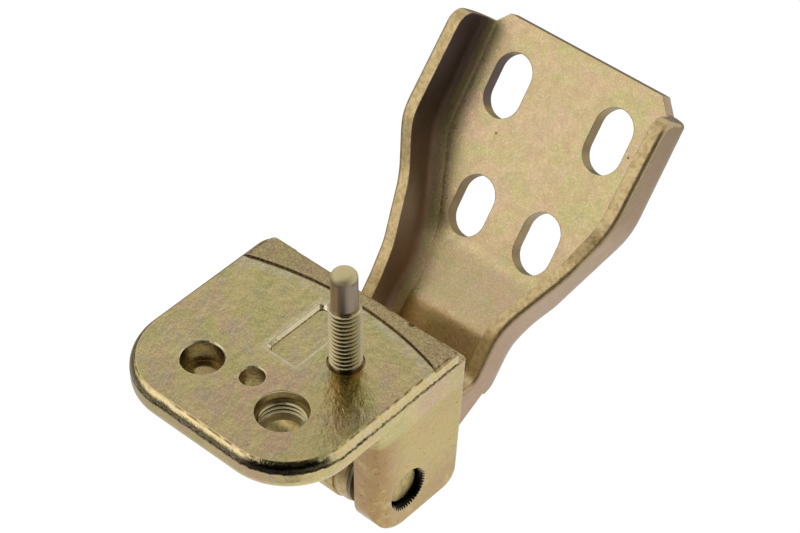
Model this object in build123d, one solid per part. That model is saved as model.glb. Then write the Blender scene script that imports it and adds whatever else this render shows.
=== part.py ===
from build123d import *
import math
import os

# Car door hinge: a forged leaf with a mounting stud, and a folded steel bracket that turns on the hinge pin.
# Frame: millimetres, +Z up along the stud, +X along the hinge pin.
# Origin: stud axis at the mounting face.

# Forged leaf, mounting pad
pad_width = 62.4
pad_front = 37.4
pad_back = 19.4
pad_thickness = 8.3
pad_front_corner_radius = 18.0
pad_back_left_radius = 7.0
pad_back_right_radius = 1.5
pad_top_edge_radius = 3.5
pad_bottom_edge_radius = 3.0
pad_back_edge_radius = 1.0
ear_root_radius = 2.5
centre_from_stud = 12.75
strip_height = 0.5
strip_edge_y = 15.5
strip_edge_radius = 95.0
strip_edge_offset = 3.0
mark_pocket_width = 9.8
mark_pocket_length = 19.4
mark_pocket_depth = 1.0
mark_pocket_wall_run = 0.9
mark_pocket_corner_radius = 1.2
mark_pocket_middle_x = 0.4
mark_pocket_middle_y = 0.6

# Holes in the pad
stepped_hole_y = -21.2
stepped_hole_mouth_diameter = 10.4
stepped_hole_mouth_depth = 6.3
stepped_hole_diameter = 6.6
stepped_hole_rim = 0.4
small_hole_diameter = 6.0
small_hole_y = -17.8
small_hole_rim = 0.3
tapped_hole_y = -21.2
tapped_hole_mouth_diameter = 12.9
tapped_hole_mouth_depth = 2.8
tapped_hole_thread_diameter = 12.0
tapped_hole_exit_chamfer = 0.5

# Stud
stud_diameter = 8.0
stud_thread_top = 18.0
stud_point_diameter = 6.4
stud_height = 28.5
stud_point_rounding = 1.7
stud_thread_chamfer = 0.5
stud_shank_diameter = 8.9
stud_relief_diameter = 7.2
stud_relief_length = 0.5

# Hinge pin and ears of the leaf
pin_diameter = 10.0
pin_y = 0.9
pin_z = -31.2
pin_recess = 1.8
pin_end_chamfer = 0.6
ear_thickness = 7.7
ear_front_y = -9.4
ear_depth = 11.0
ear_nose_radius = 9.3
ear_heel_radius = 5.0
ear_edge_radius = 4.2
ear_rim_radius = 1.3
ear_back_top_y = 21.7
ear_back_bottom_y = 18.4
ear_bore_chamfer = 0.8

# Folded bracket: "up" runs along the plate and "out" is square to it towards the pad, both from the pin axis
sheet = 4.0
bracket_tilt = 38.8
plate_out = -45.0
plate_top = 105.0
plate_half_width = 34.0
plate_shoulder_up = 71.2
shoulder_radius = 24.0
neck_start_up = 37.7
neck_radius = 30.0
neck_end_up = 20.0
web_end_rise = 7.0
web_tongue_up = 19.0
joggle = 5.7
joggle_top_up = 47.7
joggle_bottom_up = 31.7
joggle_radius = 14.0
bend_inside_radius = 3.5
die_roll_radius = 1.2
flange_top_up = 101.4
flange_height = 12.5
flange_top_height = 11.0
flange_corner_radius = 4.5
flange_waist_up = 57.2
flange_waist_dip = 1.9
flange_edge_radius = 16.0
neck_edge_start_up = 36.2
neck_edge_out = -29.0
relief_start = 24.1
relief_end = 27.3
slot_width = 11.1
upper_slot_length = 17.4
lower_slot_length = 16.4
upper_slot_up = 88.6
slot_row_spacing = 31.2
upper_slot_spacing = 32.2
lower_slot_spacing = 21.3
knuckle_radius = 9.9
arm_root_up = 20.0
throat_up = 21.5
throat_radius = 5.0
heel_up = 10.4
heel_out = -22.9
heel_radius = 8.0

# Pieces on the pin
bush_wall = 1.2
bush_flange_radius = 9.5
bush_flange_thickness = 1.0
washer_radius = 7.6
washer_thickness = 1.95
sleeve_radius = 10.4
running_clearance = 0.05
loose_clearance = 0.1
side_clearance = 0.15
cut_overrun = 10.0
pick_tolerance = 0.01
pick_margin = 0.2

# Derived sizes
half_width = pad_width / 2
centre_x = -centre_from_stud
ear_inner = half_width - ear_thickness
ear_bottom = pin_z - ear_depth
neck_half_width = ear_inner - washer_thickness - side_clearance - bush_flange_thickness
bend_outside_radius = bend_inside_radius + sheet
plate_back_out = plate_out - sheet
free_edge_out = plate_out + flange_height
neck_out = plate_out + joggle
arm_root_out = neck_out - sheet + bend_outside_radius
web_end_up = neck_end_up + web_end_rise
throat_lap_up = throat_up + throat_radius
arm_lap_up = throat_lap_up + sheet / 2
pin_radius = pin_diameter / 2
bush_bore_radius = pin_radius + running_clearance
bush_outer_radius = bush_bore_radius + bush_wall

to_centre = Location((centre_x, 0, 0))
to_pin = Location((centre_x, pin_y, pin_z))
standing = (Align.CENTER, Align.CENTER, Align.MIN)
hanging = (Align.CENTER, Align.CENTER, Align.MAX)


def rounded(points, radii):
    """Closed face through the points, with the corners named in radii rounded."""
    face = make_face(Polyline(*points, close=True))
    for corner, radius in radii:
        vertex = face.vertices().sort_by_distance(Vector(*corner))[0]
        face = fillet(vertex, radius)
    return face


def side_slab(face, half_length):
    """Solid from a face drawn in (Y, Z), reaching the same distance to both sides along X."""
    plane = Plane(origin=(0, 0, 0), x_dir=(0, 1, 0), z_dir=(1, 0, 0))
    return extrude(plane * face, amount=half_length, both=True)


def along_x(radius, start, end, y=0.0, z=0.0):
    """Round bar along X."""
    plane = Plane(origin=(start, y, z), x_dir=(0, 1, 0), z_dir=(1, 0, 0))
    return extrude(plane * Circle(radius), amount=end - start)


def upright(plan):
    """Solid from a plan, tall enough to take in the whole leaf."""
    low = ear_bottom - cut_overrun
    return Pos(0, 0, low) * extrude(plan, amount=strip_height + cut_overrun - low)


def back_trim():
    """Tall block whose plan ends at the back edge of the leaf, with its two back corners."""
    reach = pad_front + cut_overrun
    corners = [
        (-half_width, -reach),
        (half_width, -reach),
        (half_width, pad_back),
        (-half_width, pad_back),
    ]
    plan = rounded(corners, [(corners[2], pad_back_right_radius), (corners[3], pad_back_left_radius)])
    return upright(plan)


def level_edges(shape, height):
    """Edges that lie at one height."""
    return shape.edges().filter_by_position(Axis.Z, height - pick_tolerance, height + pick_tolerance)


def pad_blank():
    """Forged blank of the pad: well rounded on the front and sides, cut square along the back."""
    overrun = pad_back + cut_overrun
    corners = [
        (-half_width, -pad_front),
        (half_width, -pad_front),
        (half_width, overrun),
        (-half_width, overrun),
    ]
    plan = rounded(corners, [(corners[0], pad_front_corner_radius), (corners[1], pad_front_corner_radius)])
    blank = Pos(0, 0, -pad_thickness) * extrude(plan, amount=pad_thickness + strip_height)
    for height, radius in ((strip_height, pad_top_edge_radius), (-pad_thickness, pad_bottom_edge_radius)):
        rim = level_edges(blank, height).filter_by(lambda edge: edge.center().Y < overrun - pick_tolerance)
        blank = fillet(rim, radius)
    back_edge = (pad_back, strip_height)
    side_view = [
        (-pad_front, -pad_thickness),
        (pad_back, -pad_thickness),
        back_edge,
        (-pad_front, strip_height),
    ]
    back_rounding = side_slab(rounded(side_view, [(back_edge, pad_back_edge_radius)]), half_width)
    return blank & back_trim() & back_rounding


def milled_area():
    """Volume that face milling takes off the blank, ending at an arc in front of the rough strip."""
    disc = Pos(strip_edge_offset, strip_edge_y - strip_edge_radius) * Circle(strip_edge_radius)
    return extrude(disc, amount=2 * strip_height)


def ear(side):
    """One pin ear below the pad; side is +1 for the right ear, -1 for the left."""
    top = strip_height - pad_top_edge_radius
    outline = [
        (ear_front_y, top),
        (ear_front_y, ear_bottom),
        (ear_back_bottom_y, ear_bottom),
        (ear_back_top_y, top),
    ]
    profile = rounded(outline, [(outline[1], ear_nose_radius), (outline[2], ear_heel_radius)])
    plate = side_slab(profile, half_width)
    rim = plate.edges().filter_by(lambda edge: abs(edge.center().X) > half_width - pick_tolerance)
    rim = rim.filter_by(lambda edge: edge.center().Z < top - pick_tolerance)
    plate = fillet(rim, ear_rim_radius)
    corners = [
        (side * ear_inner, ear_front_y),
        (side * half_width, ear_front_y),
        (side * half_width, ear_back_top_y),
        (side * ear_inner, ear_back_top_y),
    ]
    plan = rounded(corners, [(corners[1], ear_edge_radius)])
    return plate & upright(plan)


def ear_root(side):
    """Inside rounding where one ear stands on the underside of the pad."""
    radius = ear_root_radius
    centre = Pos(ear_inner - radius, -pad_thickness - radius)
    profile = centre * Rectangle(radius, radius, align=(Align.MIN, Align.MIN)) - centre * Circle(radius)
    plane = Plane(origin=(0, pad_back, 0), x_dir=(1, 0, 0), z_dir=(0, -1, 0))
    return mirrored(extrude(plane * profile, amount=pad_back - ear_front_y), side)


def make_leaf():
    """Forged leaf: pad with holes, raised rough strip and two pin ears."""
    leaf = pad_blank() - milled_area()
    for side in (-1, 1):
        leaf += ear(side)
        leaf += ear_root(side)
    stud_x = centre_from_stud
    depth = pad_thickness
    leaf -= mark_pocket()
    stepped_hole = drilled(stepped_hole_mouth_diameter, stepped_hole_mouth_depth, stepped_hole_rim)
    stepped_hole += drilled(stepped_hole_diameter, depth, 0)
    leaf -= Pos(-stud_x, stepped_hole_y) * stepped_hole
    leaf -= Pos(0, small_hole_y) * drilled(small_hole_diameter, depth, small_hole_rim)
    leaf -= Pos(stud_x, 0) * drilled(stud_shank_diameter, depth, 0)
    tapped_hole = drilled(tapped_hole_mouth_diameter, tapped_hole_mouth_depth, 0)
    tapped_hole += drilled(tapped_hole_thread_diameter, depth, 0)
    inside = tapped_hole_thread_diameter / 2
    outside = inside + tapped_hole_exit_chamfer
    tapped_hole += Pos(0, 0, -depth) * Cone(outside, inside, tapped_hole_exit_chamfer, align=standing)
    leaf -= Pos(stud_x, tapped_hole_y) * tapped_hole
    leaf -= along_x(pin_radius, -half_width, half_width, pin_y, pin_z)
    for side in (-1, 1):
        rim = Cone(pin_radius, pin_radius + ear_bore_chamfer, ear_bore_chamfer, align=hanging)
        leaf -= Pos(side * half_width, pin_y, pin_z) * Rot(0, side * 90, 0) * rim
    return to_centre * leaf


def mark_pocket():
    """Cutter for the shallow pocket in the mounting face, whose walls slope in towards its floor."""
    floor_width = mark_pocket_width - 2 * mark_pocket_wall_run
    floor_length = mark_pocket_length - 2 * mark_pocket_wall_run
    mouth = RectangleRounded(mark_pocket_width, mark_pocket_length, mark_pocket_corner_radius)
    floor = RectangleRounded(floor_width, floor_length, mark_pocket_corner_radius)
    pocket = loft([Pos(0, 0, -mark_pocket_depth) * floor, mouth], ruled=True)
    return Pos(mark_pocket_middle_x, mark_pocket_middle_y) * pocket


def drilled(diameter, depth, rim):
    """Cutter for a round hole from the mounting face, with a chamfer of the rim's size where there is one."""
    radius = diameter / 2
    hole = Cylinder(radius, depth, align=hanging)
    if rim > 0:
        hole += Cone(radius, radius + rim, rim, align=hanging)
    return hole


def make_stud():
    """Stud pressed into the pad: shank, relief groove, thread at full diameter and a rounded pilot point."""
    shank_length = pad_thickness - stud_relief_length
    point_length = stud_height - stud_thread_top
    shank = Pos(0, 0, -pad_thickness) * Cylinder(stud_shank_diameter / 2, shank_length, align=standing)
    relief = Cylinder(stud_relief_diameter / 2, stud_relief_length, align=hanging)
    thread = Cylinder(stud_diameter / 2, stud_thread_top, align=standing)
    thread = chamfer(thread.edges().sort_by(Axis.Z)[-1], stud_thread_chamfer)
    point = Pos(0, 0, stud_thread_top) * Cylinder(stud_point_diameter / 2, point_length, align=standing)
    point = fillet(point.edges().sort_by(Axis.Z)[-1], stud_point_rounding)
    return shank + relief + thread + point


def channel_plan(inset, low, high, relieved):
    """Plan of the bracket channel in (across, up), moved inwards by the inset."""
    wide = plate_half_width - inset
    narrow = neck_half_width - inset
    right = [
        (wide, plate_shoulder_up),
        (narrow, neck_start_up),
        (narrow, low),
    ]
    if relieved:
        top = [(relief_start, high), (relief_end, flange_top_up), (wide, flange_top_up)]
    else:
        top = [(wide, high)]
    half = top + right
    points = half + [(-across, up) for across, up in reversed(half)]
    radii = []
    for sign in (1, -1):
        radii.append(((sign * wide, plate_shoulder_up), shoulder_radius))
        radii.append(((sign * narrow, neck_start_up), neck_radius))
    return rounded(points, radii)


def web_line(offset, low, high):
    """Points of the web's side line, from the lower end to the upper end, as (up, out)."""
    return [
        (low, neck_out + offset),
        (joggle_bottom_up, neck_out + offset),
        (joggle_top_up, plate_out + offset),
        (high, plate_out + offset),
    ]


def channel_side(offset, low, high, outer_points, outer_radii):
    """Side view of the channel in (up, out) between the web line and the outer points."""
    line = web_line(offset, low, high)
    radii = [(line[1], joggle_radius), (line[2], joggle_radius)] + outer_radii
    return rounded(line + outer_points, radii)


def through_channel(plan):
    """Solid from a face in (across, up), long enough along out to pass through the whole channel."""
    start = plate_back_out - cut_overrun
    return Pos(0, 0, start) * extrude(plan, amount=-start)


def bracket_local():
    """Folded bracket in its own axes: X across, Y up the plate, Z out of it, from the pin axis."""
    side_plane = Plane(origin=(0, 0, 0), x_dir=(0, 1, 0), z_dir=(1, 0, 0))
    flange_points = [
        (plate_top, plate_out),
        (flange_top_up, plate_out + sheet),
        (flange_top_up, plate_out + flange_top_height),
        (plate_shoulder_up, free_edge_out),
        (flange_waist_up, free_edge_out - flange_waist_dip),
        (neck_edge_start_up, neck_edge_out),
        (neck_end_up, neck_edge_out),
        (neck_end_up, arm_root_out),
    ]
    flange_radii = [
        (flange_points[2], flange_corner_radius),
        (flange_points[3], flange_edge_radius),
        (flange_points[4], flange_edge_radius),
        (flange_points[5], flange_edge_radius),
    ]
    outer_side = channel_side(-sheet, web_end_up, plate_top, flange_points, flange_radii)
    outer = extrude(side_plane * outer_side, amount=plate_half_width + cut_overrun, both=True)
    outer &= through_channel(channel_plan(0, neck_end_up, plate_top, True))
    outer = fillet(long_bend_edges(outer, plate_back_out, neck_out - sheet), bend_outside_radius)
    outer = fillet(free_edges(outer), die_roll_radius)

    low = neck_end_up - cut_overrun
    high = plate_top + cut_overrun
    inner_points = [(high, 0), (low, 0)]
    inner_side = channel_side(0, low, high, inner_points, [])
    inner = extrude(side_plane * inner_side, amount=plate_half_width + cut_overrun, both=True)
    inner &= through_channel(channel_plan(sheet, low, high, False))
    inner = fillet(long_bend_edges(inner, plate_out, neck_out), bend_inside_radius)
    bracket = outer - inner + web_tongue()

    lower_slot_up = upper_slot_up - slot_row_spacing
    for side in (-1, 1):
        bracket += arm(side)
        bracket -= slot_cutter(side * upper_slot_spacing / 2, upper_slot_up, upper_slot_length)
        bracket -= slot_cutter(side * lower_slot_spacing / 2, lower_slot_up, lower_slot_length)
    bracket -= along_x(bush_outer_radius, -neck_half_width, neck_half_width)
    return bracket


def web_tongue():
    """Flat lower end of the web, which stands out between the ends of the two bends."""
    width = 2 * (neck_half_width - bend_outside_radius)
    length = web_end_up - web_tongue_up
    tongue = Box(width, length, sheet, align=(Align.CENTER, Align.MIN, Align.MAX))
    return Pos(0, web_tongue_up, neck_out) * tongue


def wall_edges(block):
    """Edges of the block that run up along one of its side walls."""
    found = ShapeList()
    for edge in block.edges():
        start = edge.position_at(0)
        end = edge.position_at(1)
        runs_up = abs(start.Y - end.Y) > pick_margin
        same_side = start.X * end.X > 0
        at_wall = min(abs(start.X), abs(end.X)) > neck_half_width - sheet - pick_tolerance
        if runs_up and same_side and at_wall:
            found.append(edge)
    return found


def long_bend_edges(block, low_out, high_out):
    """Edges of the block where its side walls meet the web surface."""
    found = ShapeList()
    for edge in wall_edges(block):
        middle = edge.position_at(0.5)
        on_web = low_out - pick_tolerance <= middle.Z <= high_out + pick_tolerance
        relief = middle.Y > flange_top_up + pick_tolerance and abs(middle.X) < relief_end
        if on_web and not relief:
            found.append(edge)
    return found


def free_edges(block):
    """Edges of the block along the free edges of its side walls."""
    above_bends = neck_out + bend_outside_radius - sheet
    return wall_edges(block).filter_by(lambda edge: edge.position_at(0.5).Z > above_bends + pick_margin)


def arm(side):
    """Arm from the neck to the pin, one sheet thick, with a round knuckle."""
    side_plane = Plane(origin=(0, 0, 0), x_dir=(0, 1, 0), z_dir=(1, 0, 0))
    root = Line((arm_root_up, arm_root_out), (throat_up, neck_edge_out))
    knuckle = CenterArc((0, 0), knuckle_radius, 0, 360)
    heel = CenterArc((heel_up, heel_out), heel_radius, 0, 360)
    profile = make_hull(ShapeList([root.edge(), knuckle.edge(), heel.edge()]))
    throat = (throat_up, neck_edge_out)
    lap = Polyline(
        (arm_root_up, arm_root_out),
        throat,
        (throat_lap_up, neck_edge_out),
        (arm_lap_up, neck_edge_out - sheet / 2),
        (arm_lap_up, arm_root_out),
        close=True,
    )
    profile = (profile + make_face(lap)).face()
    profile = fillet(profile.vertices().sort_by_distance(Vector(*throat))[0], throat_radius)
    plate = Pos(neck_half_width - sheet, 0, 0) * extrude(side_plane * profile, amount=sheet)
    outer_edges = plate.edges().filter_by_position(
        Axis.X, neck_half_width - pick_tolerance, neck_half_width + pick_tolerance
    )
    return mirrored(fillet(outer_edges, die_roll_radius), side)


def slot_cutter(across, up, length):
    """Cutter for one adjusting slot, long way up the plate."""
    slot = Pos(across, up) * Rot(0, 0, 90) * SlotOverall(length, slot_width)
    return Pos(0, 0, plate_back_out - cut_overrun) * extrude(slot, amount=sheet + 2 * cut_overrun)


def make_bracket():
    """Bracket turned to its rest tilt and moved to the pin."""
    tilt = math.radians(bracket_tilt)
    plane = Plane(
        origin=(centre_x, pin_y, pin_z),
        x_dir=(1, 0, 0),
        z_dir=(0, -math.cos(tilt), math.sin(tilt)),
    )
    return plane * bracket_local()


def make_pin():
    """Plain pin, set below the outer faces of both ears."""
    reach = half_width - pin_recess
    pin = along_x(pin_radius, -reach, reach)
    pin = chamfer(pin.edges().filter_by(GeomType.CIRCLE), pin_end_chamfer)
    return to_pin * pin


def make_bush(side):
    """Flanged bush pressed into one arm of the bracket from outside."""
    inner_end = neck_half_width - sheet
    outer_end = neck_half_width + bush_flange_thickness
    bush = along_x(bush_outer_radius, inner_end, neck_half_width)
    bush += along_x(bush_flange_radius, neck_half_width, outer_end)
    bush -= along_x(bush_bore_radius, inner_end, outer_end)
    return to_pin * mirrored(bush, side)


def make_washer(side):
    """Thrust washer against the inner face of one ear."""
    start = ear_inner - washer_thickness
    washer = along_x(washer_radius, start, ear_inner)
    washer -= along_x(pin_radius + loose_clearance, start, ear_inner)
    return to_pin * mirrored(washer, side)


def make_sleeve():
    """Spacer sleeve on the pin between the two arms."""
    reach = neck_half_width - sheet
    sleeve = along_x(sleeve_radius, -reach, reach)
    sleeve -= along_x(pin_radius + loose_clearance, -reach, reach)
    return to_pin * sleeve


def mirrored(shape, side):
    """The shape as drawn for the right side, or its mirror image for the left."""
    return shape if side > 0 else mirror(shape, about=Plane.YZ)


pieces = {
    "forged_leaf": make_leaf(),
    "threaded_stud": make_stud(),
    "hinge_pin": make_pin(),
    "folded_bracket": make_bracket(),
    "spacer_sleeve": make_sleeve(),
    "bush_left": make_bush(-1),
    "bush_right": make_bush(1),
    "washer_left": make_washer(-1),
    "washer_right": make_washer(1),
}

os.makedirs("parts", exist_ok=True)
for name, solid in pieces.items():
    export_step(solid, f"parts/{name}.step")
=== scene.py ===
import math

import bmesh
import bpy
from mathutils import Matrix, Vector


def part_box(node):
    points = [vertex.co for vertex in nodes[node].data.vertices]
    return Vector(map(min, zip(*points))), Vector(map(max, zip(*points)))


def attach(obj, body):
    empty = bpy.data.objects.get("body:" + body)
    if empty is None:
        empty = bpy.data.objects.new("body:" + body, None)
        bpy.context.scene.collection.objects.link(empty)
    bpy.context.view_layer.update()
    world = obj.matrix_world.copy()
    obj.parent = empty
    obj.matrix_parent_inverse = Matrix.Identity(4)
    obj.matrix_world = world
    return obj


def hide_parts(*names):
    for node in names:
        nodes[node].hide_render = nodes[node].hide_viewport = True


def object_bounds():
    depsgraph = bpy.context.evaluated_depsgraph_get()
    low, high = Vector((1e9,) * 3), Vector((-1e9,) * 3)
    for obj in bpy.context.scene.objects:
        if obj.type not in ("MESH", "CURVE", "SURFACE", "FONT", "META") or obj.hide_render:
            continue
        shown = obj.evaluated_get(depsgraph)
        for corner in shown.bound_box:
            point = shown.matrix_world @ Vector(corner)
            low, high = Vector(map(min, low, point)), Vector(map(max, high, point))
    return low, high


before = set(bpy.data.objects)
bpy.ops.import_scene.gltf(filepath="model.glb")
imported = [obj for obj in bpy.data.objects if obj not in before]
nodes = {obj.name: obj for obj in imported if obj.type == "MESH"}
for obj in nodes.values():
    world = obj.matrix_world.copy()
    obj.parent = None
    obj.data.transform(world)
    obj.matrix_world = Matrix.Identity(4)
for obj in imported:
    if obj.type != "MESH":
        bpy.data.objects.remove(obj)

cad_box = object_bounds()
MM = 0.001

# Camera at the photograph's viewing angle; bearings run from -Y towards +X
CAMERA_AZIMUTH = math.radians(41.869)
CAMERA_ELEVATION = math.radians(43.702)
CAMERA_TARGET = Vector((-0.76, 19.53, 15.75)) * MM
CAMERA_DISTANCE = 607.3 * MM
FOCAL_LENGTH_IN_PIXELS = 2637.0
PICTURE_WIDTH_IN_PIXELS = 800.0
SENSOR_WIDTH = 36.0

# Studio: a white tent with a bright band above a dark hem, dimmer overhead and dark behind the camera.
# Spreads around the bright bearing are cosines, and the other pairs are degrees.
BRIGHT_AZIMUTH = math.radians(-33)
BRIGHT_SPREAD = (0.2, 0.95)
BAND_LEVEL = 1.0
BRIGHTEST_LEVEL = 1.12
BAND_TOP = (35, 52)
OVERHEAD_SPREAD = (-0.2, 0.6)
OVERHEAD_AT_BACK = 0.52
OVERHEAD_AT_FRONT = 0.95
HEM_SPREAD = (-0.8, 0.8)
HEM_AT_BACK = (-3, 3)
HEM_AT_FRONT = (3, 13)
DARK_LEVEL = 0.02
DARK_SIDE_SPREAD = (58, 40)
DARK_SIDE_TOP = (60, 75)
LAMP_PLACE = (-0.416, -0.64, 0.477)
LAMP_SIZE = 0.6
LAMP_POWER = 0.25

# Floor, in metres; its bright and dark places are for what the metal mirrors
FLOOR_DROP = 60 * MM
FLOOR_SIZE = 6.0
FLOOR_GREY = (0.25, 0.25, 0.25, 1)
FLOOR_SEEN = 0.9
FLOOR_MIRRORED = 0.75
FLOOR_BRIGHT_SPOT = (0.04, 0.02, 0)
FLOOR_BRIGHT_REACH = 0.4
FLOOR_FAR_AZIMUTH = math.radians(128)
FLOOR_FAR_REACH = (0.25, 0.38)
FLOOR_DARK_SPOT = (0.1, -0.115, 0)
FLOOR_DARK_REACH = (0.01, 0.045)

# Stud, standing on the frame's origin
STUD_PITCH = 1.25 * MM
STUD_CREST = 4.0 * MM
STUD_ROOT = 3.25 * MM
STUD_THREAD_TOP = 18.0 * MM
STUD_POINT = 3.2 * MM
STUD_POINT_ROUNDING = 1.7 * MM
STUD_RELIEF = 3.6 * MM
STUD_RELIEF_DEPTH = 0.5 * MM
STUD_SHANK = 4.45 * MM
STUD_CHAMFER = 0.5 * MM
DOME_STEPS = 10

# Finish of the stud's point, in millimetres above its shoulder
DOME_START = (0.1, 0.6)
DARK_RING_UNDER_DOME = (-0.4, -0.1)

# Tapped hole: thread below a plain mouth, and a plain lip below the thread
HOLE_PITCH = 1.25 * MM
HOLE_WALL = 6.0 * MM
HOLE_CREST = 5.3 * MM
HOLE_THREAD_TOP = -2.8 * MM
HOLE_LIP_TOP = -6.4 * MM
HOLE_LIP_BOTTOM = -7.8 * MM
HOLE_LIP = 4.6 * MM

# One thread turn as phases of the pitch, from root to root, with the crest at zero
TURN_PHASES = (-0.5, -0.375, -0.22, -0.0625, 0.0, 0.0625, 0.22, 0.375)
CREST_EDGE = 0.0625
ROOT_EDGE = 0.375
THREAD_COLUMNS = 96
MERGE_DISTANCE = 0.0002 * MM
SMOOTH_ANGLE = math.radians(32)

# Finish, painted highlights and painted shade of the leaf, in millimetres; heights are pairs above or below
# the pad's face
PAD_TOP_HEIGHTS = (-0.8, -0.4)
PAD_MIDDLE = (-12.75, -8.0, 0)
PAD_EDGE_REACH = (22.0, 22.5)
EDGE_UNEVENNESS = (-0.25, 0.25)
CREAM_HEIGHTS = (-1.9, -0.45)
CORNER_HEIGHTS = (-2.6, -0.8)
CORNER_AZIMUTH = math.radians(41.869)
CORNER_TURN = (0.78, 0.9)
DARK_LINE_HEIGHTS = (-2.7, -2.1)
FOLD_HEIGHTS = (-0.3, -0.12)
EAR_TOP_HEIGHTS = (-12, -9)
EAR_FOOT_HEIGHTS = (-24, -38)
EAR_FRONT = (2, -8)
STRIP_ARC_CENTRE = (-9.75, -79.5, 0)
STRIP_ARC_RADIUS = 95.0
STRIP_START = (-0.1, 0.1)
STEP_WIDTH = (-0.2, 0.1)
FROST_WIDTH = (-2.0, -0.4)
STRIP_NICK = (3.7, 18.7, 0.5)
STRIP_GRIT = 4.5
POCKET_MIDDLE = (-12.35, 0.6, 0)
POCKET_HALF_WIDTH = 4.9
POCKET_HALF_LENGTH = 9.7
POCKET_REACH_ACROSS = (6.5, 6.6)
POCKET_REACH_ALONG = (11.2, 11.3)
POCKET_WALL_HEIGHTS = (-0.75, -0.05)
POCKET_FOOT_HEIGHTS = (-0.93, -0.75)
POCKET_BROW_WIDTH = (0.0, 0.6)
STEPPED_HOLE = (-25.5, -21.2, 0)
STEPPED_HOLE_RADIUS = 5.2
SMALL_HOLE = (-12.75, -17.8, 0)
SMALL_HOLE_RADIUS = 3.0
TAPPED_HOLE = (0, -21.2, 0)
TAPPED_HOLE_RADIUS = 6.45
HOLE_WALL_HEIGHTS = (-0.5, -0.4)
HOLE_RIM_HEIGHTS = (-0.4, -0.06)
HOLE_RIM_WIDTH = 0.6
HOLE_DARK_HEIGHTS = (-5, -2)
STUD_HOLE_HEIGHTS = (-0.1, -0.05)
PIN_AXIS = (-12.75, 0.9, -31.2)
PIN_RIM_RADIUS = (5.3, 5.38)
PIN_RIM_TEETH = 44
PIN_TOOTH_HEIGHT = 0.35
PIN_RIM_SIDE = (0, 0.557, -0.83)
PIN_RIM_SIDE_REACH = (0, 2)
PIN_RIM_SPREAD = (0, 0.45)
WRINKLE_ALONG = (-0.667, 0.745, 0)
WRINKLE_ACROSS = (0.745, 0.667, 0)

# Finish and painted shade of the bracket, in millimetres from the pin; its plate leans by the tilt
TILT = math.radians(38.8)
PLATE_UP = (0, math.sin(TILT), math.cos(TILT))
PLATE_OUT = (0, -math.cos(TILT), math.sin(TILT))
FREE_EDGE_OUT = (-37.0, -36.5)
TOP_EDGE_UP = (100, 101)
TOP_EDGE_OUT = (-44.5, -44)
SLOTS_SIDE = (22, 22.5)
SLOTS_UP = (48, 49)
SLOTS_OUT = (-45, -44.8)
LEFT_HALF = (-7.25, -2.25)
RUDDY_UP = (10, 110)
RUDDY_STRENGTHS = (0.8, 0.45)
VIOLET_UP = (50, 90)
VIOLET_STRENGTHS = (0.1, 0.75)

# Ways that the bracket's regions face, as cosines
FLANGE_FACING = (0.5, 0.8)
TURNED_IN_FACING = (0.01, 0.15)
FREE_EDGE_FACING = (0.35, 0.7)
TOP_EDGE_FACING = (0.6, 0.8)
SLOTS_FACING = (-0.2, 0.2)

# Single marks on the bracket, at places in the frame
PLATE_SPECKS = ((-26.0, 84.0, 0.3), (10.3, 90.8, 8.8))
EDGE_SMUDGE = (17.9, 68.6, 1.2)
EDGE_NICK = (21.9, 78.0, 12.8)

# Roughness of the surfaces, and what some places add to it
FORGED_ROUGHNESS = (0.12, 0.2)
STRIP_ADDS = 0.12
HOLES_ADD = 0.18
SHEET_ROUGHNESS = (0.26, 0.34)
EDGES_ADD = 0.1
TURNED_IN_ADDS = 0.26
STUD_ROUGHNESS = (0.24, 0.36)
DOME_ADDS = 0.15
HOLE_THREAD_ROUGHNESS = 0.26
DULL_ROUGHNESS = 0.4
TURNED_ROUGHNESS = 0.36

# How far some places fall short of pure metal, or the share of metal that they keep
EDGE_DULLNESS = 0.2
TOP_DULLNESS = 0.6
DOME_DULLNESS = 0.5
CREST_METAL_SHARE = 0.75
LIP_METAL_SHARE = 0.4

# Shares of a thread's depth where its crests start and its valleys end
CREST_RISE = (0.6, 0.85)
VALLEY_RISE = (0.25, 0.6)

# Colours of yellow passivated zinc, of the bushes and washers, and of the painted highlights, painted
# reflections and painted shade
TAN = (0.72, 0.575, 0.235, 1)
SHEET_TAN = (0.60, 0.435, 0.22, 1)
OLIVE = (0.46, 0.49, 0.14, 1)
PINK = (0.68, 0.43, 0.29, 1)
RUDDY = (0.52, 0.35, 0.25, 1)
GOLD = (0.62, 0.48, 0.18, 1)
COPPER = (0.47, 0.29, 0.14, 1)
CREAM_GOLD = (0.80, 0.60, 0.24, 1)
CUT_EDGE = (0.84, 0.63, 0.32, 1)
SHEAR = (0.50, 0.37, 0.15, 1)
STRIP_BROWN = (0.50, 0.37, 0.19, 1)
POINT = (0.36, 0.28, 0.25, 1)
DOME = (0.95, 0.81, 0.41, 1)
GREY = (0.42, 0.41, 0.36, 1)
FROST = (0.66, 0.66, 0.62, 1)
STRAW = (0.80, 0.70, 0.45, 1)
BROWN = (0.20, 0.12, 0.045, 1)
HOLE_SHADE_BROWN = (0.34, 0.25, 0.08, 1)
VALLEY = (0.07, 0.045, 0.02, 1)
VIOLET = (0.16, 0.12, 0.15, 1)
BLACK = (0.012, 0.010, 0.009, 1)
SILVER = (0.66, 0.60, 0.44, 1)
BRONZE = (0.30, 0.25, 0.16, 1)
STEEL = (0.22, 0.20, 0.18, 1)

# Shifts that keep the clouds of one place from falling together, in millimetres
PINK_CLOUD_SHIFT = (31, 17, 5)
GREY_CLOUD_SHIFT = (-23, 41, 13)

# Ends of a ramp that goes down, and the axes kept in distances from a line or a point
FALLING = (1, 0)
FROM_UPRIGHT_LINE = (1, 1, 0)
FROM_PIN_LINE = (0, 1, 1)
FROM_POINT = (1, 1, 1)

# Sockets of the mix node that take the factor and the colours, and the one that gives the colour
MIX_INPUTS = (0, 6, 7)
MIX_OUTPUT = 2


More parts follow.
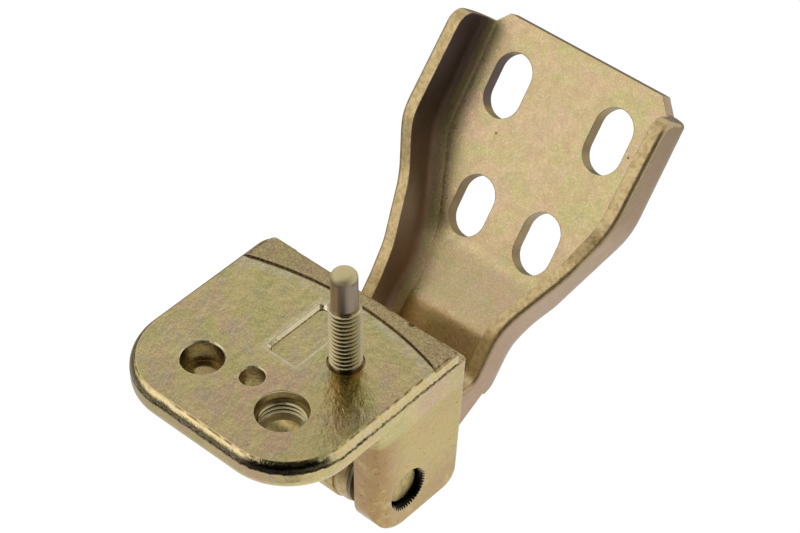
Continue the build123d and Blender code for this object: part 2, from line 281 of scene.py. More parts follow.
class Shader:
    """Short calls for building one node tree."""

    def __init__(self, tree):
        self.tree = tree
        tree.nodes.clear()

    def add(self, kind, inputs=None, **settings):
        node = self.tree.nodes.new(kind)
        for name, value in settings.items():
            setattr(node, name, value)
        for name, value in (inputs or {}).items():
            self.put(node.inputs[name], value)
        return node

    def put(self, socket, value):
        if isinstance(value, bpy.types.NodeSocket):
            self.tree.links.new(value, socket)
        else:
            socket.default_value = value

    def math(self, operation, first, second=0.0):
        return self.add("ShaderNodeMath", {0: first, 1: second}, operation=operation).outputs[0]

    def chain(self, operation, values):
        result = values[0]
        for value in values[1:]:
            result = self.math(operation, result, value)
        return result

    def total(self, *values):
        return self.chain("ADD", values)

    def product(self, *values):
        return self.chain("MULTIPLY", values)

    def largest(self, *values):
        return self.chain("MAXIMUM", values)

    def vector_math(self, operation, first, second=(0, 0, 0)):
        return self.add("ShaderNodeVectorMath", {0: first, 1: second}, operation=operation).outputs[0]

    def dot(self, first, second):
        node = self.add("ShaderNodeVectorMath", {0: first, 1: second}, operation="DOT_PRODUCT")
        return node.outputs["Value"]

    def offset(self, place, centre):
        return self.vector_math("SUBTRACT", place, centre)

    def split(self, vector):
        return self.add("ShaderNodeSeparateXYZ", {0: vector}).outputs

    def bearing(self, direction):
        return self.vector_math("NORMALIZE", self.vector_math("MULTIPLY", direction, FROM_UPRIGHT_LINE))

    def distance(self, place, centre, kept_axes):
        """Distance from a line through the centre; kept_axes has a zero for the line's direction."""
        offset = self.vector_math("MULTIPLY", self.offset(place, centre), kept_axes)
        return self.add("ShaderNodeVectorMath", {0: offset}, operation="LENGTH").outputs["Value"]

    def ramp(self, value, edges, ends=(0, 1)):
        """Smooth change from one end to the other while the value goes from edge to edge."""
        low, high = edges
        at_low, at_high = ends
        inputs = {"Value": value, "From Min": low, "From Max": high, "To Min": at_low, "To Max": at_high}
        return self.add("ShaderNodeMapRange", inputs, interpolation_type="SMOOTHSTEP").outputs[0]

    def band(self, value, edges, soft):
        """One between the edges, fading to zero over the soft width on both sides."""
        low, high = edges
        rising = self.ramp(value, (low - soft, low))
        return self.product(rising, self.ramp(value, (high, high + soft), FALLING))

    def disc(self, place, centre, radius, soft, kept_axes=FROM_UPRIGHT_LINE):
        """One within the radius of a line through the centre, fading to zero over the soft width."""
        return self.ramp(self.distance(place, centre, kept_axes), (radius, radius + soft), FALLING)

    def spot(self, place, centre, radius, soft):
        """One within the radius of a point, fading to zero over the soft width."""
        return self.disc(place, centre, radius, soft, FROM_POINT)

    def noise(self, place, scale, detail=4.0, roughness=0.55):
        inputs = {"Vector": place, "Scale": scale, "Detail": detail, "Roughness": roughness}
        return self.add("ShaderNodeTexNoise", inputs).outputs[0]

    def cloud(self, place, scale, levels, ends=(0, 1), detail=4.0, roughness=0.55):
        """Patches of noise, going from one end to the other between two levels of the noise."""
        return self.ramp(self.noise(place, scale, detail, roughness), levels, ends)

    def mix(self, factor, first, second):
        node = self.add("ShaderNodeMix", data_type="RGBA")
        for socket, value in zip(MIX_INPUTS, (factor, first, second)):
            self.put(node.inputs[socket], value)
        return node.outputs[MIX_OUTPUT]

    def tint(self, colour, towards, *masks, strength=1.0):
        """The colour turned towards another one, by the product of the masks and the strength."""
        return self.mix(self.product(*masks, strength), colour, towards)

    def facing(self):
        return self.add("ShaderNodeTexCoord").outputs["Normal"]

    def millimetres(self):
        place = self.add("ShaderNodeTexCoord").outputs["Object"]
        return self.vector_math("MULTIPLY", place, (1 / MM, 1 / MM, 1 / MM))

    def drawn_out(self, place, along, across, stretch):
        """Place with one direction drawn out, so that noise turns into streaks along it."""
        streak = self.math("DIVIDE", self.dot(place, along), stretch)
        inputs = {0: streak, 1: self.dot(place, across), 2: self.split(place)["Z"]}
        return self.add("ShaderNodeCombineXYZ", inputs).outputs[0]


def bearing_vector(azimuth):
    return Vector((math.sin(azimuth), -math.cos(azimuth), 0))


def sines(degrees):
    return [math.sin(math.radians(angle)) for angle in degrees]


def cosines(degrees):
    return [math.cos(math.radians(angle)) for angle in degrees]


def add_camera():
    level = math.cos(CAMERA_ELEVATION)
    back = bearing_vector(CAMERA_AZIMUTH) * level + Vector((0, 0, math.sin(CAMERA_ELEVATION)))
    data = bpy.data.cameras.new("photo_camera")
    data.sensor_width = SENSOR_WIDTH
    data.lens = FOCAL_LENGTH_IN_PIXELS / PICTURE_WIDTH_IN_PIXELS * SENSOR_WIDTH
    camera = bpy.data.objects.new("photo_camera", data)
    camera.location = CAMERA_TARGET + back * CAMERA_DISTANCE
    camera.rotation_euler = (-back).to_track_quat("-Z", "Y").to_euler()
    bpy.context.scene.collection.objects.link(camera)
    bpy.context.scene.camera = camera


def add_world():
    """White for the camera; in the metal, a tent whose light depends on bearing and height."""
    world = bpy.data.worlds.new("studio")
    world.use_nodes = True
    bpy.context.scene.world = world
    shader = Shader(world.node_tree)
    direction = shader.add("ShaderNodeTexCoord").outputs["Generated"]
    height = shader.split(direction)["Z"]
    bearing = shader.bearing(direction)
    to_camera = shader.dot(bearing, bearing_vector(CAMERA_AZIMUTH))
    to_bright = shader.dot(bearing, bearing_vector(BRIGHT_AZIMUTH))
    sides = shader.ramp(to_bright, BRIGHT_SPREAD, (BAND_LEVEL, BRIGHTEST_LEVEL))
    overhead = shader.ramp(to_bright, OVERHEAD_SPREAD, (OVERHEAD_AT_BACK, OVERHEAD_AT_FRONT))
    tent = shader.ramp(height, sines(BAND_TOP), (sides, overhead))
    hem_edges = []
    for ends in zip(sines(HEM_AT_BACK), sines(HEM_AT_FRONT)):
        hem_edges.append(shader.ramp(to_bright, HEM_SPREAD, ends))
    hem = shader.ramp(height, hem_edges, (DARK_LEVEL, 1))
    below_lamps = shader.ramp(height, sines(DARK_SIDE_TOP), FALLING)
    dark_side = shader.product(shader.ramp(to_camera, cosines(DARK_SIDE_SPREAD)), below_lamps)
    studio = shader.product(tent, hem, shader.ramp(dark_side, (0, 1), (1, DARK_LEVEL)))
    camera_ray = shader.add("ShaderNodeLightPath").outputs["Is Camera Ray"]
    strength = shader.largest(studio, camera_ray)
    background = shader.add("ShaderNodeBackground", {"Strength": strength})
    shader.add("ShaderNodeOutputWorld", {"Surface": background.outputs[0]})


def floor_material():
    """Pale floor that looks white, and lights the metal from some places more than from others."""
    material, shader = new_material("pale_floor")
    path = shader.add("ShaderNodeLightPath").outputs
    place = shader.add("ShaderNodeTexCoord").outputs["Object"]
    away = shader.distance(place, FLOOR_BRIGHT_SPOT, FROM_UPRIGHT_LINE)
    near = shader.ramp(away, (0, FLOOR_BRIGHT_REACH), (FLOOR_MIRRORED, DARK_LEVEL))
    far_side = shader.dot(place, bearing_vector(FLOOR_FAR_AZIMUTH))
    far = shader.ramp(far_side, FLOOR_FAR_REACH, (0, FLOOR_MIRRORED))
    from_dark = shader.distance(place, FLOOR_DARK_SPOT, FROM_UPRIGHT_LINE)
    shade = shader.ramp(from_dark, FLOOR_DARK_REACH, (DARK_LEVEL, 1))
    mirrored = shader.product(path["Is Glossy Ray"], shader.largest(near, far), shade)
    seen = shader.largest(path["Is Camera Ray"], path["Is Transmission Ray"])
    glow = shader.largest(shader.product(seen, FLOOR_SEEN), mirrored)
    matt = shader.add("ShaderNodeBsdfDiffuse", {"Color": FLOOR_GREY})
    light = shader.add("ShaderNodeEmission", {"Strength": glow})
    both = shader.add("ShaderNodeAddShader", {0: matt.outputs[0], 1: light.outputs[0]})
    shader.add("ShaderNodeOutputMaterial", {"Surface": both.outputs[0]})
    return material


def add_floor():
    """Floor below the lowest point that the swinging bracket reaches."""
    half = FLOOR_SIZE / 2
    level = cad_box[0].z - FLOOR_DROP
    mesh = bpy.data.meshes.new("floor")
    corners = [(-half, -half, level), (half, -half, level), (half, half, level), (-half, half, level)]
    mesh.from_pydata(corners, [], [(0, 1, 2, 3)])
    mesh.materials.append(floor_material())
    floor = bpy.data.objects.new("floor", mesh)
    bpy.context.scene.collection.objects.link(floor)


def add_lamp():
    data = bpy.data.lights.new("soft_box", "AREA")
    data.shape = "DISK"
    data.size = LAMP_SIZE
    data.energy = LAMP_POWER
    lamp = bpy.data.objects.new("soft_box", data)
    lamp.location = LAMP_PLACE
    lamp.rotation_euler = (Vector((0, 0, 0)) - lamp.location).to_track_quat("-Z", "Y").to_euler()
    bpy.context.scene.collection.objects.link(lamp)


def new_material(name):
    material = bpy.data.materials.new(name)
    material.use_nodes = True
    return material, Shader(material.node_tree)


def patches(shader, place, base, olive, pink, grey):
    """Plating with olive, pink and grey clouds of the given strengths, and fine pale and ruddy speckle."""
    beside = shader.vector_math("ADD", place, PINK_CLOUD_SHIFT)
    beyond = shader.vector_math("ADD", place, GREY_CLOUD_SHIFT)
    colour = shader.tint(base, OLIVE, shader.cloud(place, scale=0.13, levels=(0.42, 0.62)), strength=olive)
    colour = shader.tint(colour, PINK, shader.cloud(beside, scale=0.12, levels=(0.45, 0.65)), strength=pink)
    colour = shader.tint(colour, GREY, shader.cloud(beyond, scale=0.2, levels=(0.5, 0.72)), strength=grey)
    pale = shader.cloud(place, scale=1.9, levels=(0.4, 0.7), roughness=0.75)
    ruddy = shader.cloud(beyond, scale=1.9, levels=(0.48, 0.75), roughness=0.75)
    colour = shader.tint(colour, STRAW, pale, strength=0.6)
    return shader.tint(colour, RUDDY, ruddy, strength=0.6)


def specks(shader, place, scale):
    """Mask of small scattered dots."""
    return shader.cloud(place, scale, levels=(0.66, 0.72), detail=2.0, roughness=0.5)


def metal(shader, colour, roughness, relief, depth, edge_radius, metallic=1.0):
    """Metal surface with softened edges and a relief of the given depth, both in millimetres."""
    edges = shader.add("ShaderNodeBevel", {"Radius": edge_radius * MM}, samples=6).outputs[0]
    inputs = {"Height": relief, "Distance": depth * MM, "Strength": 1.0, "Normal": edges}
    bump = shader.add("ShaderNodeBump", inputs).outputs[0]
    inputs = {"Base Color": colour, "Metallic": metallic, "Roughness": roughness, "Normal": bump}
    surface = shader.add("ShaderNodeBsdfPrincipled", inputs)
    shader.add("ShaderNodeOutputMaterial", {"Surface": surface.outputs[0]})


def hole_masks(shader, place):
    """Masks of the upright holes' walls and of their chamfered rims."""
    height = shader.split(place)["Z"]
    walls = []
    rims = []
    for centre, radius in ((STEPPED_HOLE, STEPPED_HOLE_RADIUS), (SMALL_HOLE, SMALL_HOLE_RADIUS),
                           (TAPPED_HOLE, TAPPED_HOLE_RADIUS)):
        walls.append(shader.disc(place, centre, radius, soft=0.1))
        rims.append(shader.disc(place, centre, radius + HOLE_RIM_WIDTH, soft=0.1))
    below_rim = shader.ramp(height, HOLE_WALL_HEIGHTS, FALLING)
    on_rim = shader.band(height, HOLE_RIM_HEIGHTS, soft=0.03)
    return shader.product(shader.largest(*walls), below_rim), shader.product(shader.largest(*rims), on_rim)


def ear_finish(shader, place, colour):
    """Ears: golden, coppery in front and at their foot, with dark dots."""
    parts = shader.split(place)
    ears = shader.ramp(parts["Z"], EAR_TOP_HEIGHTS, FALLING)
    front = shader.ramp(parts["Y"], EAR_FRONT, (0.1, 0.85))
    foot = shader.ramp(parts["Z"], EAR_FOOT_HEIGHTS, (0, 0.6))
    blotches = shader.cloud(place, scale=0.25, levels=(0.25, 0.5))
    colour = shader.tint(colour, GOLD, ears, strength=0.65)
    colour = shader.tint(colour, COPPER, ears, shader.largest(front, foot), blotches)
    return shader.tint(colour, BROWN, ears, specks(shader, place, scale=1.3), strength=0.85)


def strip_finish_and_step_shade(shader, place, colour, pad_top, past_step, strip):
    """Raised strip: brown behind a painted shade line on its step, with frosted plating before the step and
    one nick.
    """
    step = shader.product(pad_top, shader.band(past_step, STEP_WIDTH, soft=0.2))
    before = shader.product(pad_top, shader.band(past_step, FROST_WIDTH, soft=1.5))
    frost = shader.cloud(place, scale=0.7, levels=(0.35, 0.75), ends=(0, 0.6))
    brown = shader.cloud(place, scale=1.2, levels=(0.35, 0.65), ends=(0.2, 1), roughness=0.7)
    colour = shader.tint(colour, FROST, before, frost)
    colour = shader.tint(colour, STRIP_BROWN, strip, brown)
    # Painted shade along the strip's step.
    colour = shader.tint(colour, BROWN, step, strength=0.85)
    return shader.tint(colour, BROWN, shader.spot(place, STRIP_NICK, radius=0.7, soft=0.4))


def edge_highlights_and_shade(shader, place, colour):
    """Pad's rounded edges: a cream band that is a painted highlight, a black painted dark reflection at the
    front corner, painted shade in the crease above, over a broken black painted dark line.
    """
    height = shader.split(place)["Z"]
    offset = shader.split(shader.vector_math("ABSOLUTE", shader.offset(place, PAD_MIDDLE)))
    at_edge = shader.ramp(shader.largest(offset["X"], offset["Y"]), PAD_EDGE_REACH)
    to_corner = shader.dot(shader.bearing(shader.facing()), bearing_vector(CORNER_AZIMUTH))
    waver = shader.cloud(place, scale=0.7, levels=(0.3, 0.7), ends=EDGE_UNEVENNESS)
    uneven = shader.total(height, waver)

    # Painted highlight: cream band along the rounded edge, away from the front corner.
    cream = shader.mix(shader.cloud(place, scale=1.4, levels=(0.4, 0.6), roughness=0.7), CREAM_GOLD, STRAW)
    crest = shader.product(at_edge, shader.band(uneven, CREAM_HEIGHTS, soft=0.15))
    colour = shader.tint(colour, cream, crest, shader.ramp(to_corner, CORNER_TURN, FALLING), strength=0.9)
    # Painted dark reflection: black on the front corner's rounded edge.
    corner = shader.product(at_edge, shader.band(uneven, CORNER_HEIGHTS, soft=0.2))
    colour = shader.tint(colour, BLACK, corner, shader.ramp(to_corner, CORNER_TURN), strength=0.85)
    # Painted dark line below the highlight band, broken up by noise.
    line = shader.product(at_edge, shader.band(uneven, DARK_LINE_HEIGHTS, soft=0.15))
    broken = shader.cloud(place, scale=1.0, levels=(0.3, 0.6), ends=(0.95, 0.5), detail=3.0)
    colour = shader.tint(colour, BLACK, line, broken)
    # Painted shade in the crease where the pad's face meets the rounded edge.
    fold = shader.product(at_edge, shader.band(height, FOLD_HEIGHTS, soft=0.08))
    return shader.tint(colour, BROWN, fold, shader.cloud(place, scale=0.4, levels=(0.42, 0.6)), strength=0.85)


def pocket_highlights_and_shade(shader, place, colour, pad_top):
    """Pocket: pale walls and brow that are painted highlights, with a painted shade line at the walls' foot.
    """
    height = shader.split(place)["Z"]
    offset = shader.split(shader.vector_math("ABSOLUTE", shader.offset(place, POCKET_MIDDLE)))
    across = shader.ramp(offset["X"], POCKET_REACH_ACROSS, FALLING)
    in_pocket = shader.product(across, shader.ramp(offset["Y"], POCKET_REACH_ALONG, FALLING))
    past = shader.largest(shader.math("SUBTRACT", offset["X"], POCKET_HALF_WIDTH),
                          shader.math("SUBTRACT", offset["Y"], POCKET_HALF_LENGTH))
    mottle = shader.noise(place, scale=1.0, detail=3.0)

    # Painted highlight on the pocket's walls.
    walls = shader.product(in_pocket, shader.band(height, POCKET_WALL_HEIGHTS, soft=0.08))
    colour = shader.tint(colour, STRAW, walls, shader.ramp(mottle, (0.3, 0.6), (0.7, 1)))
    # Painted highlight along the brow around the pocket.
    brow = shader.product(pad_top, shader.band(past, POCKET_BROW_WIDTH, soft=0.2))
    colour = shader.tint(colour, STRAW, brow, shader.ramp(mottle, (0.3, 0.6), (0.45, 1)))
    # Painted shade line at the foot of the walls.
    foot = shader.product(in_pocket, shader.band(height, POCKET_FOOT_HEIGHTS, soft=0.06))
    return shader.tint(colour, BROWN, foot, shader.ramp(mottle, (0.35, 0.5), (0.5, 1)))


def hole_highlights_and_shade(shader, place, colour, walls, rims):
    """Holes: pale rims that are painted highlights over painted shade on the speckled walls, darker towards
    their top, and painted shade in the seat around the stud.
    """
    height = shader.split(place)["Z"]
    speckle = shader.cloud(place, scale=2.2, levels=(0.5, 0.65), detail=2.0)
    # Painted highlight on the rims.
    colour = shader.tint(colour, STRAW, rims)
    # Painted shade on the walls, stronger near the top.
    colour = shader.tint(colour, HOLE_SHADE_BROWN, walls, shader.ramp(height, HOLE_DARK_HEIGHTS, (0.6, 0.9)))
    colour = shader.tint(colour, BROWN, walls, speckle, strength=0.6)
    # Painted shade in the seat around the stud.
    around_stud = shader.disc(place, (0, 0, 0), STUD_SHANK / MM, soft=0.1)
    below_face = shader.ramp(height, STUD_HOLE_HEIGHTS, FALLING)
    return shader.tint(colour, BROWN, around_stud, below_face, strength=0.8)


def pin_rim_shade(shader, place, colour):
    """Painted shade around the pin's end: a black toothed rim, broader on its lower right."""
    from_pin = shader.offset(place, PIN_AXIS)
    parts = shader.split(from_pin)
    angle = shader.math("ARCTAN2", parts["Y"], parts["Z"])
    teeth = shader.product(shader.math("SINE", shader.product(angle, PIN_RIM_TEETH)), PIN_TOOTH_HEIGHT)
    spread = shader.ramp(shader.dot(from_pin, PIN_RIM_SIDE), PIN_RIM_SIDE_REACH, PIN_RIM_SPREAD)
    from_axis = shader.distance(place, PIN_AXIS, FROM_PIN_LINE)
    past_rim = shader.math("SUBTRACT", from_axis, shader.total(teeth, spread))
    return shader.tint(colour, BLACK, shader.ramp(past_rim, PIN_RIM_RADIUS, FALLING))


def forged_material():
    """Leaf: wrinkled forging under the plating, with the finish, painted highlights and painted shade of each
    region over it.
    """
    material, shader = new_material("forged_zinc")
    place = shader.millimetres()
    streaks = shader.drawn_out(place, WRINKLE_ALONG, WRINKLE_ACROSS, stretch=1.6)
    pad_top = shader.ramp(shader.split(place)["Z"], PAD_TOP_HEIGHTS)
    from_arc = shader.distance(place, STRIP_ARC_CENTRE, FROM_UPRIGHT_LINE)
    past_step = shader.math("SUBTRACT", from_arc, STRIP_ARC_RADIUS)
    strip = shader.product(pad_top, shader.ramp(past_step, STRIP_START))
    walls, rims = hole_masks(shader, place)

    colour = patches(shader, streaks, TAN, olive=0.5, pink=0.7, grey=0.35)
    colour = ear_finish(shader, place, colour)
    colour = strip_finish_and_step_shade(shader, place, colour, pad_top, past_step, strip)
    colour = edge_highlights_and_shade(shader, place, colour)
    colour = pocket_highlights_and_shade(shader, place, colour, pad_top)
    colour = hole_highlights_and_shade(shader, place, colour, walls, rims)
    colour = pin_rim_shade(shader, place, colour)

    wrinkle = shader.noise(streaks, scale=0.5, detail=6.0, roughness=0.6)
    grit = shader.product(strip, shader.noise(place, scale=1.1, detail=3.0), STRIP_GRIT)
    roughness = shader.total(
        shader.cloud(place, scale=0.5, levels=(0.3, 0.7), ends=FORGED_ROUGHNESS),
        shader.product(strip, STRIP_ADDS),
        shader.product(shader.largest(walls, rims), HOLES_ADD),
    )
    metal(shader, colour, roughness, shader.total(wrinkle, grit), depth=0.2, edge_radius=0.3)
    return material


def sheet_marks(shader, place):
    """Mask of the single specks, the nick and the smudge on the bracket."""
    marks = [shader.spot(place, centre, radius=0.2, soft=0.25) for centre in PLATE_SPECKS]
    marks.append(shader.spot(place, EDGE_NICK, radius=0.4, soft=0.3))
    smudge = shader.spot(place, EDGE_SMUDGE, radius=0.4, soft=2.4)
    marks.append(shader.product(smudge, shader.cloud(place, scale=1.2, levels=(0.35, 0.6), ends=(0, 0.6))))
    return shader.largest(*marks)


def sheet_masks(shader, place):
    """Masks of the bracket's regions, by their place and by the way that they face."""
    from_pin = shader.offset(place, PIN_AXIS)
    side = shader.split(from_pin)["X"]
    out = shader.dot(from_pin, PLATE_OUT)
    up = shader.dot(from_pin, PLATE_UP)
    facing = shader.facing()
    facing_right = shader.split(facing)["X"]
    facing_out = shader.dot(facing, PLATE_OUT)
    facing_up = shader.dot(facing, PLATE_UP)

    left_half = shader.ramp(side, LEFT_HALF, FALLING)
    flange_shade = shader.ramp(facing_right, FLANGE_FACING)
    off_sides = shader.ramp(shader.math("ABSOLUTE", side), SLOTS_SIDE, FALLING)
    in_slots = shader.product(off_sides, shader.ramp(up, SLOTS_UP), shader.ramp(out, SLOTS_OUT, FALLING))
    at_top = shader.product(shader.ramp(up, TOP_EDGE_UP), shader.ramp(out, TOP_EDGE_OUT, FALLING))
    return {
        "flange_shade": shader.product(flange_shade, shader.ramp(up, RUDDY_UP, RUDDY_STRENGTHS)),
        "left_flange_shade": shader.product(flange_shade, left_half, shader.ramp(up, VIOLET_UP, VIOLET_STRENGTHS)),
        "turned_in": shader.product(left_half, shader.ramp(facing_right, TURNED_IN_FACING)),
        "slot_wall_shade": shader.product(in_slots, shader.band(facing_out, SLOTS_FACING, soft=0.3)),
        "edges": shader.product(shader.ramp(facing_out, FREE_EDGE_FACING), shader.ramp(out, FREE_EDGE_OUT)),
        "top": shader.product(at_top, shader.ramp(facing_up, TOP_EDGE_FACING)),
    }


def sheet_colour(shader, place, masks):
    """Finely speckled plating with ruddy painted shade on the faces turned to +X, violet painted shade on the
    left flange, painted shade on the slot walls, pale cut edges and a few marks.
    """
    shear = shader.cloud(place, scale=0.8, levels=(0.42, 0.62), detail=5.0, roughness=0.65)
    colour = patches(shader, place, SHEET_TAN, olive=0.45, pink=0.5, grey=0.15)
    colour = shader.tint(colour, BROWN, specks(shader, place, scale=3.4), strength=0.5)
    # Ruddy painted shade on the faces turned to +X, fading upwards.
    colour = shader.tint(colour, RUDDY, masks["flange_shade"])
    # Painted shade on the slot walls.
    colour = shader.tint(colour, HOLE_SHADE_BROWN, masks["slot_wall_shade"], strength=0.6)
    # Violet painted shade on the left flange, stronger upwards.
    colour = shader.tint(colour, VIOLET, masks["left_flange_shade"])
    colour = shader.tint(colour, CUT_EDGE, masks["edges"], strength=0.9)
    colour = shader.tint(colour, SHEAR, masks["edges"], shear, strength=0.6)
    colour = shader.tint(colour, BROWN, masks["top"], strength=0.5)
    return shader.tint(colour, BROWN, sheet_marks(shader, place))


def sheet_material():
    """Bracket: smooth sheet, rougher and duller on its cut edges."""
    material, shader = new_material("sheet_zinc")
    place = shader.millimetres()
    masks = sheet_masks(shader, place)
    roughness = shader.total(
        shader.cloud(place, scale=0.4, levels=(0.3, 0.7), ends=SHEET_ROUGHNESS),
        shader.product(masks["edges"], EDGES_ADD),
        shader.product(masks["turned_in"], TURNED_IN_ADDS),
    )
    dull_edges = shader.product(masks["edges"], EDGE_DULLNESS)
    dull_top = shader.product(masks["top"], TOP_DULLNESS)
    metallic = shader.math("SUBTRACT", 1, shader.largest(dull_edges, dull_top))
    colour = sheet_colour(shader, place, masks)
    relief = shader.noise(place, scale=1.6, roughness=0.7)
    metal(shader, colour, roughness, relief, depth=0.035, edge_radius=0.35, metallic=metallic)
    return material


def thread_colour(shader, place, crest, root, threaded, plain):
    """Colour and metal share of a thread: silver crests that are painted highlights over dark valleys that
    are painted shade, by the distance from its axis.
    """
    from_axis = shader.distance(place, (0, 0, 0), FROM_UPRIGHT_LINE)
    depth = (crest - root) / MM
    rise = shader.math("DIVIDE", shader.math("SUBTRACT", from_axis, root / MM), depth)
    crests = shader.product(threaded, shader.ramp(rise, CREST_RISE))
    valleys = shader.product(threaded, shader.ramp(rise, VALLEY_RISE, FALLING))
    # Painted highlight on the crests.
    colour = shader.tint(plain, SILVER, crests, strength=0.6)
    # Painted shade in the valleys.
    colour = shader.tint(colour, VALLEY, valleys, strength=0.8)
    return colour, shader.ramp(crests, (0, 1), (1, CREST_METAL_SHARE))


def stud_material():
    """Stud: thread, a brownish point with a pale dome over a dark ring, and painted shade at its foot."""
    material, shader = new_material("stud_zinc")
    place = shader.millimetres()
    height = shader.split(place)["Z"]
    thread_top = STUD_THREAD_TOP / MM
    shoulder = (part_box("threaded_stud")[1].z - STUD_POINT_ROUNDING) / MM
    above_shoulder = shader.math("SUBTRACT", height, shoulder)
    dome = shader.ramp(above_shoulder, DOME_START)
    line = shader.band(above_shoulder, DARK_RING_UNDER_DOME, soft=0.15)
    threaded = shader.band(height, (0.1, thread_top - 0.3), soft=0.1)

    plain = patches(shader, place, TAN, olive=0.4, pink=0.4, grey=0.5)
    plain = shader.tint(plain, POINT, shader.ramp(height, (thread_top - 0.2, thread_top + 0.2)), strength=0.8)
    plain = shader.tint(plain, DOME, dome, strength=0.8)
    # Dark ring where the dome meets the point.
    plain = shader.tint(plain, VIOLET, line, shader.cloud(place, scale=0.5, levels=(0.45, 0.6)))
    colour, metallic = thread_colour(shader, place, STUD_CREST, STUD_ROOT, threaded, plain)
    # Painted shade on the foot, below the pad's face.
    colour = shader.tint(colour, BROWN, shader.ramp(height, (-0.05, 0.05), FALLING), strength=0.8)

    roughness = shader.ramp(height, (thread_top, thread_top + 0.3), STUD_ROUGHNESS)
    roughness = shader.total(roughness, shader.product(dome, DOME_ADDS))
    metallic = shader.math("SUBTRACT", metallic, shader.product(dome, DOME_DULLNESS))
    relief = shader.noise(place, scale=2.0, detail=3.0)
    metal(shader, colour, roughness, relief, depth=0.006, edge_radius=0.1, metallic=metallic)
    return material


def hole_thread_material():
    """Thread of the tapped hole over a plain lip."""
    material, shader = new_material("hole_zinc")
    place = shader.millimetres()
    lip_top = HOLE_LIP_TOP / MM
    threaded = shader.ramp(shader.split(place)["Z"], (lip_top, lip_top + 0.3))
    plain = patches(shader, place, TAN, olive=0.3, pink=0.3, grey=0.1)
    colour, metallic = thread_colour(shader, place, HOLE_CREST, HOLE_WALL, threaded, plain)
    metallic = shader.product(metallic, shader.ramp(threaded, (0, 1), (LIP_METAL_SHARE, 1)))
    relief = shader.noise(place, scale=2.0, detail=3.0)
    metal(shader, colour, HOLE_THREAD_ROUGHNESS, relief, depth=0.006, edge_radius=0.1, metallic=metallic)
    return material


def plain_material(name, base, roughness):
    """Dull metal for the pieces that hardly show."""
    material, shader = new_material(name)
    place = shader.millimetres()
    colour = shader.tint(base, BROWN, shader.cloud(place, scale=0.6, levels=(0.35, 0.7)), strength=0.5)
    relief = shader.noise(place, scale=2.0, detail=3.0)
    metal(shader, colour, roughness, relief, depth=0.008, edge_radius=0.2)
    return material


def paint(node, material):
    mesh = nodes[node].data
    if mesh.materials:
        for index in range(len(mesh.materials)):
            mesh.materials[index] = material
    else:
        mesh.materials.append(material)


def on_circle(radius, turn, height):
    angle = 2 * math.pi * turn
    return Vector((radius * math.cos(angle), radius * math.sin(angle), height))


def add_rings(shape, profile):
    """Turned surface through the (radius, height) points of a profile; a zero radius closes it."""
    turns = [column / THREAD_COLUMNS for column in range(THREAD_COLUMNS)]
    rings = []
    for radius, height in profile:
        rings.append([shape.verts.new(on_circle(radius, turn, height)) for turn in turns])
    for lower, upper in zip(rings, rings[1:]):
        for column in range(THREAD_COLUMNS):
            after = (column + 1) % THREAD_COLUMNS
            shape.faces.new((lower[column], lower[after], upper[after], upper[column]))


def thread_radius(phase, crest, root):
    rise = (ROOT_EDGE - abs(phase)) / (ROOT_EDGE - CREST_EDGE)
    return root + (crest - root) * min(max(rise, 0.0), 1.0)


def add_thread(shape, pitch, bottom, top, crest, root, end_radii, run_out):
    """Helical wall between two levels; at each end it runs out to a plain circle of its own radius."""
    laps = math.ceil((top - bottom) / pitch) + 2
    columns = []
    for column in range(THREAD_COLUMNS):
        turn = column / THREAD_COLUMNS
        points = []
        for lap in range(laps + 1):
            for phase in TURN_PHASES:
                height = min(max(bottom + pitch * (lap - 1 + phase + turn), bottom), top)
                full = min(height - bottom, top - height, run_out) / run_out
                end_radius = end_radii[0] if height - bottom < top - height else end_radii[1]
                radius = end_radius + (thread_radius(phase, crest, root) - end_radius) * full
                points.append(shape.verts.new(on_circle(radius, turn, height)))
        columns.append(points)
    step = len(TURN_PHASES)
    for column in range(THREAD_COLUMNS):
        last = column == THREAD_COLUMNS - 1
        here = columns[column]
        beside = columns[0][step:] if last else columns[column + 1]
        for row in range(min(len(here), len(beside)) - 1):
            shape.faces.new((here[row], beside[row], beside[row + 1], here[row + 1]))


def finished_piece(name, shape, place, material, body):
    """Closes a turned shape's seams, turns it into an object and puts it on its body."""
    bmesh.ops.remove_doubles(shape, verts=shape.verts, dist=MERGE_DISTANCE)
    bmesh.ops.dissolve_degenerate(shape, edges=shape.edges, dist=MERGE_DISTANCE)
    bmesh.ops.recalc_face_normals(shape, faces=shape.faces)
    mesh = bpy.data.meshes.new(name)
    shape.to_mesh(mesh)
    shape.free()
    mesh.shade_smooth()
    mesh.set_sharp_from_angle(angle=SMOOTH_ANGLE)
    mesh.materials.append(material)
    piece = bpy.data.objects.new(name, mesh)
    piece.location = place
    bpy.context.scene.collection.objects.link(piece)
    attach(piece, body)
    return piece


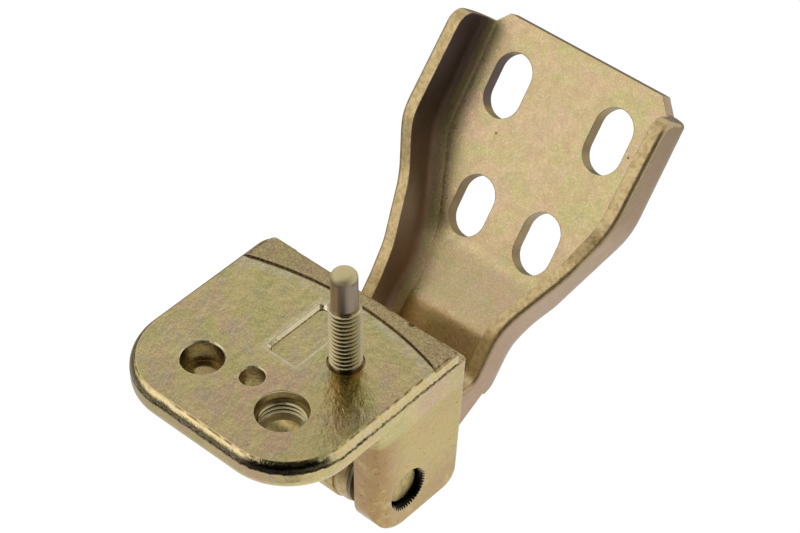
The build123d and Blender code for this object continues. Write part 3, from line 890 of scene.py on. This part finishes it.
def add_stud():
    """Stud with its thread turns between a relieved foot and a rounded pilot point."""
    low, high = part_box("threaded_stud")
    shape = bmesh.new()
    add_rings(shape, [
        (0, low.z), (STUD_SHANK, low.z), (STUD_SHANK, -STUD_RELIEF_DEPTH),
        (STUD_RELIEF, -STUD_RELIEF_DEPTH), (STUD_RELIEF, 0),
    ])
    ends = (STUD_RELIEF, STUD_RELIEF)
    add_thread(shape, STUD_PITCH, 0, STUD_THREAD_TOP, STUD_CREST, STUD_ROOT, ends, STUD_CHAMFER)
    point = [(STUD_RELIEF, STUD_THREAD_TOP), (STUD_POINT, STUD_THREAD_TOP)]
    for step in range(DOME_STEPS + 1):
        angle = math.pi / 2 * step / DOME_STEPS
        radius = STUD_POINT - STUD_POINT_ROUNDING * (1 - math.cos(angle))
        point.append((radius, high.z - STUD_POINT_ROUNDING * (1 - math.sin(angle))))
    point.append((0, high.z))
    add_rings(shape, point)
    stud = finished_piece("stud_with_thread", shape, (0, 0, 0), stud_material(), "leaf")
    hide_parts("threaded_stud")


def add_hole_thread():
    """Tapped hole's thread turns, closed against the hole's wall, with the narrowing lip below them."""
    shape = bmesh.new()
    ends = (HOLE_CREST, HOLE_WALL)
    add_thread(shape, HOLE_PITCH, HOLE_LIP_TOP, HOLE_THREAD_TOP, HOLE_CREST, HOLE_WALL, ends, HOLE_PITCH / 2)
    add_rings(shape, [
        (HOLE_CREST, HOLE_LIP_TOP), (HOLE_LIP, HOLE_LIP_BOTTOM),
        (HOLE_WALL, HOLE_LIP_BOTTOM), (HOLE_WALL, HOLE_THREAD_TOP),
    ])
    place = Vector(TAPPED_HOLE) * MM
    finished_piece("tapped_hole_thread", shape, place, hole_thread_material(), "leaf")


bpy.context.scene.view_settings.view_transform = "Standard"
add_camera()
add_world()
add_floor()
add_lamp()

bronze = plain_material("bearing_bronze", BRONZE, DULL_ROUGHNESS)
steel = plain_material("washer_steel", STEEL, DULL_ROUGHNESS)
turned = plain_material("turned_zinc", TAN, TURNED_ROUGHNESS)
paint("forged_leaf", forged_material())
paint("folded_bracket", sheet_material())
paint("hinge_pin", turned)
paint("spacer_sleeve", turned)
paint("bush_left", bronze)
paint("bush_right", bronze)
paint("washer_left", steel)
paint("washer_right", steel)
add_stud()
add_hole_thread()
